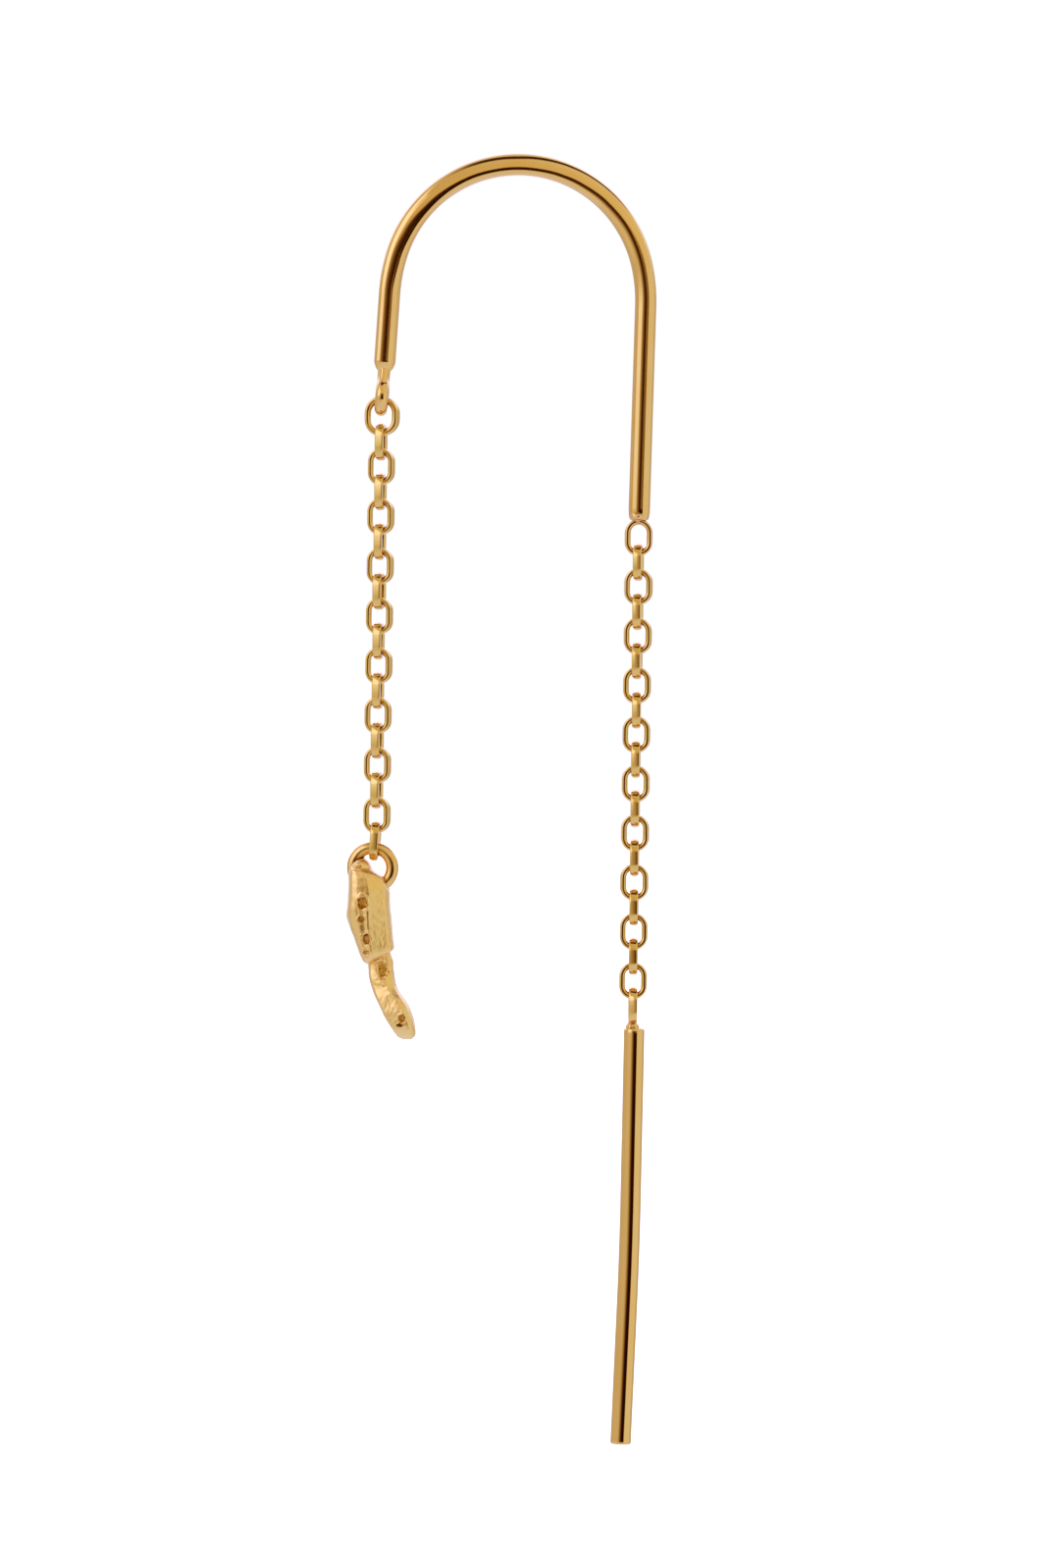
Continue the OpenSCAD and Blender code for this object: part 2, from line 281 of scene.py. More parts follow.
def wire_ring(centre, outward, radius, sides, apex=0.0, outer_n=2.0, inner_n=2.0):
    """One ring of wire: apex moves the front's highest line outwards, and an n over 2 flattens its side."""
    ring = []
    for out, front in circle(sides):
        if front > 0:
            n = outer_n if out > 0 else inner_n
            front = max(1 - abs(out) ** n, 0.0) ** (1 / n)
            out += apex * (1 - out * out)
        ring.append(centre + radius * (out * outward + front * TO_VIEWER))
    return ring


def new_object(name, data):
    """An object in the scene."""
    made = bpy.data.objects.new(name, data)
    bpy.context.scene.collection.objects.link(made)
    return made


def settled(work):
    """The mesh of an object with its modifiers applied; the object goes."""
    graph = bpy.context.evaluated_depsgraph_get()
    mesh = bpy.data.meshes.new_from_object(work.evaluated_get(graph))
    bpy.data.objects.remove(work)
    return mesh


def combined(base, tool, operation):
    """A mesh joined with or cut by another."""
    work, cutter = new_object(base.name, base), new_object(tool.name, tool)
    step = work.modifiers.new("Combine", "BOOLEAN")
    step.operation = operation
    step.solver = "EXACT"
    step.object = cutter
    mesh = settled(work)
    bpy.data.objects.remove(cutter)
    if len(mesh.polygons) == 0:
        raise RuntimeError(base.name + " came out empty")
    return mesh


def fused(meshes):
    """One mesh out of several that run into each other."""
    result = meshes[0]
    for mesh in meshes[1:]:
        result = combined(result, mesh, "UNION")
    return result


def inside_blob(place, blob, reach=1.12):
    """Whether a place lies in an egg-shaped region: (centre, radii)."""
    centre, radii = blob
    return sum(((p - c) / (reach * r)) ** 2 for p, c, r in zip(place, centre, radii)) < 1


def add_piece(name, mesh, body, finish, nodes, crease=radians(35), patch="", blobs=()):
    """An object for a mesh in millimetres, in place of CAD nodes, with a patch finish inside blobs."""
    mesh.name = name
    patched = [any(inside_blob(face.center, blob) for blob in blobs) for face in mesh.polygons]
    mesh.transform(Matrix.Scale(MM, 4))
    mesh.shade_smooth()
    mesh.set_sharp_from_angle(angle=crease)
    mesh.materials.clear()
    for material in filter(None, (finish, patch)):
        mesh.materials.append(bpy.data.materials[material])
    mesh.polygons.foreach_set("material_index", [int(flag) for flag in patched])
    piece = new_object(name, mesh)
    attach(piece, body)
    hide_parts(*nodes)


# Shader helpers

def feed(tree, node, inputs):
    """Fill a node's inputs with values or other nodes' sockets."""
    for socket, value in inputs.items():
        if isinstance(value, bpy.types.NodeSocket):
            tree.links.new(value, node.inputs[socket])
        else:
            node.inputs[socket].default_value = value


def add_node(tree, kind, inputs=None, **settings):
    """A node with its settings and its inputs."""
    made = tree.nodes.new("ShaderNode" + kind)
    for key, value in settings.items():
        setattr(made, key, value)
    feed(tree, made, inputs or {})
    return made


def maths(tree, operation, first, second=0.0, clamp=False):
    """The result of a Math node."""
    return add_node(tree, "Math", {0: first, 1: second}, operation=operation, use_clamp=clamp).outputs[0]


def stepped(tree, value, low, high, to_low=0.0, to_high=1.0):
    """A smooth step of a value from one level to another."""
    ends = {"From Min": low, "From Max": high, "To Min": to_low, "To Max": to_high}
    return add_node(
        tree, "MapRange", {"Value": value, **ends}, interpolation_type="SMOOTHSTEP").outputs["Result"]


def mixed_value(tree, factor, first, second):
    """A value between two others, by a factor."""
    return add_node(tree, "Mix", {0: factor, 2: first, 3: second}, data_type="FLOAT").outputs[0]


def mixed_colour(tree, factor, first, second, blend="MIX"):
    """A colour blended from two others, by a factor."""
    made = add_node(tree, "Mix", {0: factor, 6: first, 7: second}, data_type="RGBA", blend_type=blend)
    return made.outputs[2]


def surface_mm(tree, stretch=(1, 1, 1)):
    """Place on the surface in millimetres, stretched along an axis."""
    place = add_node(tree, "TexCoord").outputs["Object"]
    return add_node(
        tree, "VectorMath", {0: place, 1: tuple(s / MM for s in stretch)}, operation="MULTIPLY").outputs[0]


def new_group(name, inputs, outputs):
    """An empty node group, the sockets of its inputs and its output node; sockets are kinds by name."""
    group = bpy.data.node_groups.new(name, "ShaderNodeTree")
    for in_out, sockets in (("INPUT", inputs), ("OUTPUT", outputs)):
        for label, kind in sockets.items():
            group.interface.new_socket(name=label, in_out=in_out, socket_type="NodeSocket" + kind)
    return group, group.nodes.new("NodeGroupInput").outputs, group.nodes.new("NodeGroupOutput")


RUBBED_PLATE_AND_SHEEN = (1.0, 0.78, 0.48, 1.0)  # pale plate on rubbed edges, which also paints a highlight along them
RECESS_REACH = 0.25  # how close walls have to be for the painted shade that darkens them, in millimetres


def plate_tone_group():
    """Slow changes of the plate's colour, from pale gold to deep gold."""
    group, given, result = new_group(
        "Plate tone",
        {"Place": "Vector", "Plate": "Color", "Deep": "Color", "Patches": "Float", "Rubbed": "Float"},
        {"Colour": "Color"})
    patches = add_node(
        group, "TexNoise",
        {"Vector": given["Place"], "Scale": given["Patches"], "Detail": 3.0, "Roughness": 0.6})
    depth = maths(group, "MULTIPLY", stepped(group, patches.outputs["Fac"], 0.35, 0.7), 0.5)
    tone = mixed_colour(group, depth, given["Plate"], given["Deep"])
    # The rubbed mask pales the edges: rubbed wear and a painted highlight
    feed(group, result, {"Colour": mixed_colour(group, given["Rubbed"], tone, RUBBED_PLATE_AND_SHEEN)})


def polish_marks_group():
    """Fine marks left by polishing, as a height and as a change of roughness."""
    group, given, result = new_group(
        "Polish marks", {"Place": "Vector", "Fineness": "Float", "Pits": "Float"},
        {"Height": "Float", "Haze": "Float"})
    place = {"Vector": given["Place"], "Scale": given["Fineness"]}
    lines = add_node(group, "TexNoise", {**place, "Detail": 6.0, "Roughness": 0.65}).outputs["Fac"]
    cells = add_node(group, "TexVoronoi", {**place, "Randomness": 1.0}, feature="F1")
    pits = stepped(group, cells.outputs["Distance"], 0.05, 0.28)
    pit_depth = maths(group, "MULTIPLY", maths(group, "SUBTRACT", 1.0, pits), given["Pits"])
    feed(group, result, {
        "Height": maths(group, "SUBTRACT", lines, pit_depth), "Haze": stepped(group, lines, 0.3, 0.75)})


def recess_shade_group():
    """Painted shade: a tint that darkens the colour in recesses and where links cross, by ambient occlusion.
    """
    group, given, result = new_group(
        "Recess shade", {"Colour": "Color", "Tint": "Color", "Amount": "Float"}, {"Colour": "Color"})
    hollow = add_node(group, "AmbientOcclusion", {"Distance": RECESS_REACH * MM}, samples=8)
    depth = maths(
        group, "MULTIPLY", stepped(group, hollow.outputs["AO"], 0.05, 0.55, 1.0, 0.0), given["Amount"])
    shaded = mixed_colour(group, depth, given["Colour"], given["Tint"], blend="MULTIPLY")
    feed(group, result, {"Colour": shaded})


def rubbed_edge_sheen_group():
    """Mask of the sharp outer edges, paled by rubbed wear and by a painted highlight that also makes glints
    on knobs and rims.
    """
    group, given, result = new_group(
        "Rubbed edge sheen", {"Place": "Vector", "Amount": "Float"}, {"Mask": "Float"})
    shape = add_node(group, "NewGeometry").outputs["Pointiness"]
    broken = add_node(group, "TexNoise", {"Vector": given["Place"], "Scale": 6.0, "Detail": 2.0})
    edge = add_node(group, "MapRange", {"Value": shape, "From Min": 0.52, "From Max": 0.6})
    mask = maths(group, "MULTIPLY", edge.outputs["Result"], broken.outputs["Fac"], clamp=True)
    feed(group, result, {"Mask": maths(group, "MULTIPLY", mask, given["Amount"])})


def gold_material(
        name, plate, deep, roughness, haze, marks_mm, fineness, pits, patches, rubbed_and_sheen=0.0, painted_recess_shade=1.0,
        stretch=(1, 1, 1)):
    """Gold plate: haze adds to its roughness in places, marks_mm is the height of its polishing marks. Its
    sharp edges are paled by rubbed wear and a painted highlight, and painted shade darkens its recesses.
    """
    material = bpy.data.materials.new(name)
    material.use_nodes = True
    tree = material.node_tree
    tint = bpy.context.scene.gold_finish.painted_recess_shade
    place = surface_mm(tree)

    def grouped(group, inputs):
        return add_node(tree, "Group", inputs, node_tree=bpy.data.node_groups[group]).outputs

    edges = grouped("Rubbed edge sheen", {"Place": place, "Amount": rubbed_and_sheen})
    tone = grouped("Plate tone", {
        "Place": place, "Rubbed": edges["Mask"], "Plate": (*plate, 1), "Deep": (*deep, 1),
        "Patches": patches})
    # Painted shade darkens the colour in recesses and where links cross
    shade = grouped("Recess shade", {"Colour": tone["Colour"], "Tint": (*tint, 1), "Amount": painted_recess_shade})
    marks = grouped("Polish marks", {
        "Place": surface_mm(tree, stretch), "Fineness": fineness, "Pits": pits})
    bump = add_node(tree, "Bump", {"Height": marks["Height"], "Distance": marks_mm * MM, "Strength": 1.0})
    feed(tree, tree.nodes["Principled BSDF"], {
        "Metallic": 1.0, "Base Color": shade["Colour"], "Normal": bump.outputs["Normal"],
        "Roughness": mixed_value(tree, marks["Haze"], roughness, roughness + haze)})


def make_finishes():
    """The shared groups, and the earring's materials by name."""
    gold = bpy.context.scene.gold_finish
    plate_tone_group()
    polish_marks_group()
    recess_shade_group()
    rubbed_edge_sheen_group()
    drawn = gold.wire_roughness
    gold_material(
        "Drawn wire gold", gold.plate, gold.deep, drawn, 0.05,
        marks_mm=0.0007, fineness=7.0, pits=0.2, patches=0.5)
    gold_material(
        "Bar gold", gold.plate, gold.deep, drawn - 0.02, 0.04,
        marks_mm=0.0003, fineness=6.0, pits=0.1, patches=0.3, stretch=(1, 1, 0.1))
    gold_material(
        "Ring gold", gold.plate, gold.deep, drawn + 0.04, 0.1,
        marks_mm=0.002, fineness=6.0, pits=0.4, patches=1.5, rubbed_and_sheen=0.2)
    gold_material(
        "Chain gold", gold.chain, gold.plate, gold.chain_roughness, 0.05,
        marks_mm=0.0015, fineness=5.0, pits=0.4, patches=2.0, rubbed_and_sheen=0.1)
    gold_material(
        "Cast gold", gold.cast, gold.cast_deep, gold.cast_roughness, 0.12,
        marks_mm=0.004, fineness=4.0, pits=0.4, patches=1.5, rubbed_and_sheen=0.4, painted_recess_shade=0.45)
    # Rougher unpolished skin whose darker colour also paints shade in the dents; its deep colour is the
    # painted recess shade
    gold_material(
        "Cast skin and shade", gold.skin, gold.painted_recess_shade, 0.32, 0.18,
        marks_mm=0.012, fineness=9.0, pits=0.8, patches=4.0, rubbed_and_sheen=0.5)
    gold_material(
        "Solder gold", gold.solder, gold.plate, 0.2, 0.12,
        marks_mm=0.004, fineness=4.0, pits=0.8, patches=2.0)


# Pieces

# The arch's wire where bending has flattened its front: angle from the crown's top in degrees, shift
# of its highest line outwards, squareness of the front's outer and inner side
ARCH_FRONT = [
    (-86, 0.0, 2.8, 2.05), (-75, -0.1, 2.8, 2.3), (-60, -0.2, 2.65, 2.5), (-45, -0.3, 2.3, 2.25),
    (-25, -0.35, 2.05, 2.0), (-10, -0.39, 2.0, 2.0), (8, -0.39, 2.0, 2.0), (20, -0.33, 2.0, 2.0),
    (30, -0.28, 2.05, 2.0), (45, -0.18, 2.1, 2.0), (62, -0.07, 2.1, 2.0), (90, 0.0, 2.1, 2.1),
]
CROWN_TO_LEG = (radians(60), radians(88))  # from the top, where the wire gets from crown to leg wire

# The fillet between the left neck and its loop: distance below the wire's end and half depth in
# millimetres, and its width as a share of the neck's
EYELET = [(-0.95, 0.27), (-0.56, 0.40), (-0.30, 0.49), (0.00, 0.62), (0.15, 0.70), (0.30, 0.79)]
EYELET_SHARE = 0.985

# Drops of solder: place from the joint and radii in millimetres, and a seed for their unevenness
RIGHT_SOLDER = ((-0.085, -0.22, 0.15), (0.29, 0.33, 0.22), 7.4)
BAR_SOLDER = ((-0.02, 0, 0.03), (0.29, 0.31, 0.29), 1.7)
END_LINK_SINK = 0.06  # how deep the soldered link goes into the wire's end, in millimetres


def arch_path(sizes):
    """Stations along the arch from its left end to its right: (place, outward direction, its turn)."""
    crown_r, shoulder_r = mm(sizes.crown_r), mm(sizes.shoulder_r)
    crown_centre = Vector((0, 0, -crown_r))

    def outward(turn):
        return Vector((sin(turn), 0, cos(turn)))

    def arc(centre, radius, start, end, count):
        turns = [mixed(start, end, i / count) for i in range(count)]
        return [(centre + radius * outward(turn), outward(turn), turn) for turn in turns]

    def leg(side, crown_end, leg_end, leg_length, count):
        """From the shoulder's end down to the leg's end."""
        centre = crown_centre + (crown_r - shoulder_r) * outward(side * crown_end)
        out = outward(side * leg_end)
        along = Vector((out.z * side, 0, -out.x * side))
        top = centre + shoulder_r * out
        shoulder = arc(centre, shoulder_r, side * crown_end, side * leg_end, count)
        straight = [(top + along * leg_length * i / count, out, side * leg_end) for i in range(count + 1)]
        return shoulder + straight

    left = leg(-1, sizes.crown_left, pi / 2 - sizes.left_lean, mm(sizes.left_leg), 120)
    right = leg(1, sizes.crown_right, pi / 2 + sizes.right_lean, mm(sizes.right_leg), 160)
    crown = arc(crown_centre, crown_r, -sizes.crown_left, sizes.crown_right, 150)
    return left[::-1][:-1] + crown + right


def arch_wire_mesh(sizes):
    """The bent wire, with the filed tapers at its ends."""
    stations = arch_path(sizes)
    travel = [0.0]
    for (a, _, _), (b, _, _) in zip(stations, stations[1:]):
        travel.append(travel[-1] + (b - a).length)
    total = travel[-1]
    crown_wire, leg_wire = mm(sizes.crown_wire) / 2, mm(sizes.leg_wire) / 2
    rings = []
    for (place, out, turn), run in zip(stations, travel):
        thick = mixed(crown_wire, leg_wire, smooth(*CROWN_TO_LEG, abs(turn)))
        filed = clamped((run - mm(sizes.left_neck)) / mm(sizes.left_taper))
        left_share = mixed(filed, rounded(filed), 0.5)
        right_share = rounded((total - run) / mm(sizes.right_taper))
        thick = mixed(mm(sizes.left_neck_wire) / 2, thick, left_share)
        thick = mixed(mm(sizes.right_tip_wire) / 2, thick, right_share)
        rings.append(wire_ring(place, out, thick, WIRE_SIDES, *between(ARCH_FRONT, degrees(turn))))
    return tube_mesh("arch_wire", rings)


def torus_mesh(name, centre, lean, turn, mid_r, wire_r, steps=72, sides=28):
    """A ring of round wire, in the front plane before it is placed."""
    rings = []
    for c, s in circle(steps):
        out = Vector((c, 0, s))
        rings.append(wire_ring(mid_r * out, out, wire_r, sides))
    mesh = tube_mesh(name, rings, closed=True)
    mesh.transform(placing(centre, lean, turn))
    return mesh


# How square a link's outer face is: across it at the link's round ends and at its straight sides, and
# over its edges
ROUND_END, FLAT_SIDE, EDGES = 2.5, 8, 3


def flat_wire_section(wire_w, wire_t, sides, tilt, flatness):
    """Flattened wire: round inside, with a tilted flat face outside. (outward, across) pairs."""
    half_w, half_t = wire_w / 2, wire_t / 2
    section = []
    for c, s in circle(sides):
        if c > 0:  # outside
            across = half_w * squared(s, flatness)
            outward = (half_t - tan(tilt) * across) * squared(c, EDGES)
        else:
            across, outward = half_w * s, half_t * c
        section.append((half_t + outward, across))
    return section


def link_mesh(name, centre, lean, turn, inner_w, inner_l, wire_w, wire_t, tilt=0.0, steps=18, sides=36):
    """A link with round ends and straight sides, upright in the front plane before it is placed."""
    side_l = inner_l - inner_w
    rings = []
    for end in (1, -1):
        for i in range(steps + 1):
            bow = pi * i / steps
            side = cos(bow) ** 2
            flatness = mixed(ROUND_END, FLAT_SIDE, side)
            section = flat_wire_section(wire_w, wire_t, sides, tilt * side, flatness)
            out = Vector((cos(bow) * end, 0, sin(bow) * end))
            middle = Vector((0, 0, end * side_l / 2))
            rings.append([middle + (inner_w / 2 + u) * out + Vector((0, v, 0)) for u, v in section])
    mesh = tube_mesh(name, rings, closed=True)
    mesh.transform(placing(centre, lean, turn))
    return mesh


BLOB_SWELL, BLOB_WAVES = 0.12, 1.6  # how uneven a drop of solder is, and how closely


def blob_mesh(name, centre, radii, seed, sides=32, bands=16):
    """An uneven drop of solder."""
    rings = []
    for j in range(1, bands):
        rise = pi * j / bands
        ring = []
        for c, s in circle(sides):
            out = Vector((sin(rise) * c, sin(rise) * s, cos(rise)))
            swell = 1 + BLOB_SWELL * noise.noise(BLOB_WAVES * out + Vector((seed, 0, 0)))
            ring.append(Vector(centre) + Vector([r * swell * part for r, part in zip(radii, out)]))
        rings.append(ring)
    return tube_mesh(name, rings)


def end_link_mesh(name, chain, centre, turn, tilt):
    """A link like the long chain's, to be soldered to the arch or to the bar."""
    return link_mesh(
        name, centre, chain.lean, turn, mm(chain.long_inner_w), mm(chain.inner_l), mm(chain.wire_w),
        mm(chain.wire_t), tilt)


class EARRING_OT_ear_arch(bpy.types.Operator):
    """Build the ear arch with its soldered loop and end link"""

    bl_idname = "earring.ear_arch"
    bl_label = "Ear arch"

    def execute(self, context):
        sizes, chain = context.scene.arch_sizes, context.scene.chain_sizes
        stations = arch_path(sizes)
        left_end, right_end = stations[0][0], stations[-1][0]
        loop_r = mm(sizes.loop_r)
        loop = torus_mesh(
            "arch_loop", left_end + loop_r * down(sizes.loop_lean), sizes.loop_lean, pi / 2, loop_r,
            mm(sizes.loop_wire) / 2)
        hang = mm(chain.inner_l) / 2 + mm(chain.wire_t) - END_LINK_SINK
        end_link = end_link_mesh(
            "arch_end_link", chain, right_end + hang * down(chain.lean), 0, -chain.long_tilt)
        place, radii, seed = RIGHT_SOLDER
        blob = (right_end + Vector(place), radii)
        half_width = EYELET_SHARE * mm(sizes.left_neck_wire) / 2
        eyelet = self.eyelet_mesh(left_end, down(sizes.loop_lean), half_width)
        solder = blob_mesh("right_solder", *blob, seed)
        mesh = fused([arch_wire_mesh(sizes), loop, eyelet, end_link, solder])
        add_piece(
            "ear_wire", mesh, "arch_and_chains", "Drawn wire gold", ["ear_arch"],
            patch="Solder gold", blobs=[blob])
        return {"FINISHED"}

    def eyelet_mesh(self, end, along, half_width, sides=48):
        """The fillet that spreads the neck into the loop."""
        across = Vector((along.z, 0, -along.x))
        rings = [
            [end + run * along + half_width * c * across + Vector((0, half_depth * s, 0))
             for c, s in circle(sides)]
            for run, half_depth in EYELET]
        return tube_mesh("eyelet", rings)


class EARRING_OT_top_ring(bpy.types.Operator):
    """Build the oval ring between the arch's loop and the short chain"""

    bl_idname = "earring.top_ring"
    bl_label = "Top ring"

    def execute(self, context):
        chain = context.scene.chain_sizes
        mesh = link_mesh(
            "oval_ring", box_centre("top_ring"), chain.lean, chain.short_twist, mm(chain.ring_inner_w),
            mm(chain.ring_inner_l), mm(chain.ring_wire_w), mm(chain.ring_wire_t), chain.ring_tilt, steps=24)
        add_piece("oval_ring", mesh, "arch_and_chains", "Chain gold", ["top_ring"])
        return {"FINISHED"}


LINK_SEEDS = {"short": 5, "long": 8}


def add_links(chain, kind, face_tilt, inner_w, rows):
    """The links of a chain; rows are their leans, twists and inner lengths."""
    draws = random.Random(LINK_SEEDS[kind])
    for i, (node, (lean, twist, inner_l)) in enumerate(zip(LINK_NAMES[kind], rows), start=1):
        wobble = chain.wobble * draws.uniform(-1, 1)
        tilt = (face_tilt + 2 * wobble) * (1 if i % 2 else -1)
        mesh = link_mesh(
            node, box_centre(node), lean, twist + wobble + pi / 2 * (i % 2), mm(inner_w), mm(inner_l),
            mm(chain.wire_w), mm(chain.wire_t), tilt)
        name = f"{kind}_chain_{i:02d}"
        add_piece(name, mesh, "arch_and_chains", "Chain gold", [node])


class EARRING_OT_short_chain(bpy.types.Operator):
    """Build the links of the short chain"""

    bl_idname = "earring.short_chain"
    bl_label = "Short chain"

    def execute(self, context):
        chain = context.scene.chain_sizes
        rows = [(chain.lean, chain.short_twist, chain.inner_l)] * len(LINK_NAMES["short"])
        rows[-1] = (chain.last_lean, chain.last_twist, chain.last_inner_l)
        add_links(chain, "short", chain.short_tilt, chain.short_inner_w, rows)
        return {"FINISHED"}


class EARRING_OT_long_chain(bpy.types.Operator):
    """Build the links of the long chain"""

    bl_idname = "earring.long_chain"
    bl_label = "Long chain"

    def execute(self, context):
        chain = context.scene.chain_sizes
        count = len(LINK_NAMES["long"]) + 1
        rows = [(chain.lean, chain.long_twist * (1 - i / count), chain.inner_l) for i in range(1, count)]
        add_links(chain, "long", chain.long_tilt, chain.long_inner_w, rows)
        return {"FINISHED"}


class EARRING_OT_jump_ring(bpy.types.Operator):
    """Build the jump ring that carries the charm"""

    bl_idname = "earring.jump_ring"
    bl_label = "Jump ring"

    def execute(self, context):
        charm, chain = context.scene.charm_sizes, context.scene.chain_sizes
        mesh = torus_mesh(
            "charm_ring", box_centre("jump_ring"), chain.lean, chain.short_twist, mm(charm.jump_r),
            mm(charm.jump_wire) / 2, steps=96, sides=36)
        add_piece("charm_ring", mesh, "charm_drop", "Ring gold", ["jump_ring"])
        return {"FINISHED"}


# Sections of the charm's lobes from the top down, counted from the jump ring's centre: left x,
# left z, right x, right z, middle y, half depth, rise from the front to the back
UPPER_LOBE = [
    (-0.60, 0.43, -0.40, 0.43, 0.05, 0.40, 0.2),
    (-0.72, 0.36, -0.28, 0.36, 0.03, 0.58, 0.15),
    (-0.87, 0.21, -0.12, 0.18, 0.08, 0.72, 0.08),
    (-0.95, 0.06, -0.01, -0.03, 0.12, 0.80, 0.02),
    (-0.98, 0.00, 0.05, -0.11, 0.03, 0.92, 0),
    (-1.00, -0.08, 0.14, -0.18, -0.01, 1.00, 0),
    (-1.03, -0.28, 0.42, -0.36, -0.01, 1.07, 0),
    (-1.05, -0.50, 0.59, -0.58, -0.01, 1.13, 0),
    (-1.06, -0.98, 0.74, -1.00, 0.00, 1.20, 0),
    (-1.10, -1.52, 0.76, -1.54, 0.00, 1.25, 0),
    (-1.13, -1.97, 0.81, -2.00, 0.00, 1.25, 0),
    (-1.03, -2.46, 0.85, -2.50, -0.02, 1.23, 0),
    (-0.80, -3.08, 0.90, -3.04, -0.07, 1.16, 0),
    (-0.59, -3.66, 0.94, -3.36, -0.13, 1.06, 0),
    (-0.42, -4.03, 0.92, -3.50, -0.16, 0.92, 0),
    (-0.18, -4.18, 0.76, -3.64, -0.16, 0.66, 0),
]
TAIL_LOBE = [
    (-0.25, -3.60, 0.62, -3.30, 0.02, 0.48, 0),
    (-0.20, -4.25, 0.87, -3.95, 0.04, 0.66, 0),
    (-0.18, -4.70, 0.95, -4.62, 0.01, 0.77, 0),
    (-0.03, -5.20, 1.08, -5.18, -0.10, 0.82, 0),
    (0.19, -5.75, 1.40, -5.63, -0.25, 0.83, 0),
    (0.54, -6.44, 1.70, -6.22, -0.43, 0.81, 0),
    (0.85, -6.94, 1.85, -6.84, -0.52, 0.70, 0),
    (1.10, -7.26, 1.86, -7.18, -0.52, 0.50, 0),
    (1.34, -7.37, 1.66, -7.36, -0.52, 0.24, 0),
]
BACK_SQUARENESS = 2.4

# The front from its left edge to the ridge: z, share of the width at the ridge, depth at the left
# edge, then share of the width and depth where the left facet ends. Depths are shares of the ridge's.
FACETS = [
    (-7.4, 0.72, 0.68, 0.36, 0.84), (-5.7, 0.72, 0.68, 0.36, 0.84), (-5.0, 0.64, 0.68, 0.32, 0.84),
    (-4.3, 0.46, 0.70, 0.23, 0.85), (-3.7, 0.34, 0.72, 0.17, 0.87), (-2.9, 0.41, 0.72, 0.20, 0.88),
    (-2.0, 0.48, 0.74, 0.22, 0.91), (-1.0, 0.50, 0.77, 0.23, 0.94), (0.5, 0.50, 0.79, 0.22, 0.94),
]

RIGHT_WALL = 0.68  # depth of the front at its right edge, as a share of the ridge's
WALL_CORNER = 0.12  # share of the width over which the walls round over
CELL = 0.03  # cells of the charm's mesh, in millimetres
PIT_SHARE = 0.75  # how much of a dent has the unpolished skin, whose darker colour also paints shade in the dent
PIT_ROUGHNESS, RAGGED, RIM = 0.35, 0.35, 0.15  # unevenness of a dent's floor and edge, height of its rim
RIM_REACH = 1.2  # where the rim stands, in shares of the dent's size
# How closely the casting's waves, grain and streaks and the dents' edges and floors follow each other,
# per millimetre
WAVE_NOISE, GRAIN_NOISE, STREAK_NOISE, RAGGED_NOISE, PIT_NOISE = 2.6, 6.0, 11.0, 7.0, 14.0
TAIL_TOP = -3.9  # where the tail begins, below the jump ring's centre, in millimetres

# Depth of the charm in front of the jump ring's middle, and the dents in it, in millimetres from the
# jump ring's centre
FRONT_DEPTH = 1.2
DENTS = [  # x, z, half width, half height, depth
    (-0.42, -1.49, 0.22, 0.30, 0.17),
    (-0.48, -2.20, 0.15, 0.16, 0.11),
    (-0.25, -3.03, 0.18, 0.26, 0.13),
    (-0.27, -3.62, 0.15, 0.10, 0.08),
    (0.42, -4.36, 0.25, 0.42, 0.13),
    (1.27, -6.44, 0.17, 0.17, 0.14),
    (1.19, -6.74, 0.17, 0.07, 0.15),
]
KNOBS = [  # x, z, radius, height of a grain of metal standing in a dent
    (-0.47, -1.38, 0.07, 0.08), (-0.40, -1.60, 0.07, 0.08), (-0.48, -2.20, 0.07, 0.09),
    (-0.29, -2.95, 0.07, 0.08), (-0.20, -3.13, 0.06, 0.07), (0.45, -4.38, 0.08, 0.09),
    (0.28, -4.22, 0.06, 0.06), (0.40, -4.62, 0.07, 0.06), (1.36, -6.40, 0.05, 0.07),
]
CREASES = [  # from x, z to x, z, half width, depth
    (-0.40, -1.60, -0.24, -3.70, 0.20, 0.04),
    (-0.85, 0.06, 0.00, -0.03, 0.05, 0.04),
    (0.00, -4.98, 0.56, -5.06, 0.05, 0.05),
]


def spline_rows(rows, steps):
    """Rows with smooth rows between them."""
    result = []
    for i in range(len(rows) - 1):
        before, here = rows[max(i - 1, 0)], rows[i]
        there, after = rows[i + 1], rows[min(i + 2, len(rows) - 1)]
        for step in range(steps):
            t = step / steps
            result.append([
                0.5 * (2 * b + (c - a) * t + (2 * a - 5 * b + 4 * c - d) * t * t
                       + (3 * b - a - 3 * c + d) * t ** 3)
                for a, b, c, d in zip(before, here, there, after)])
    result.append(list(rows[-1]))
    return result


def front_share(across, ridge, left_wall, facet_end, facet_depth):
    """Depth of the front between its edges: facets that meet at the ridge, with rounded walls."""
    if across < facet_end:
        facet = mixed(left_wall, facet_depth, across / facet_end)
    elif across < ridge:
        facet = mixed(facet_depth, 1, (across - facet_end) / (ridge - facet_end))
    else:
        facet = mixed(RIGHT_WALL, 1, (1 - across) / (1 - ridge))
    return facet * rounded(min(across, 1 - across) / WALL_CORNER)


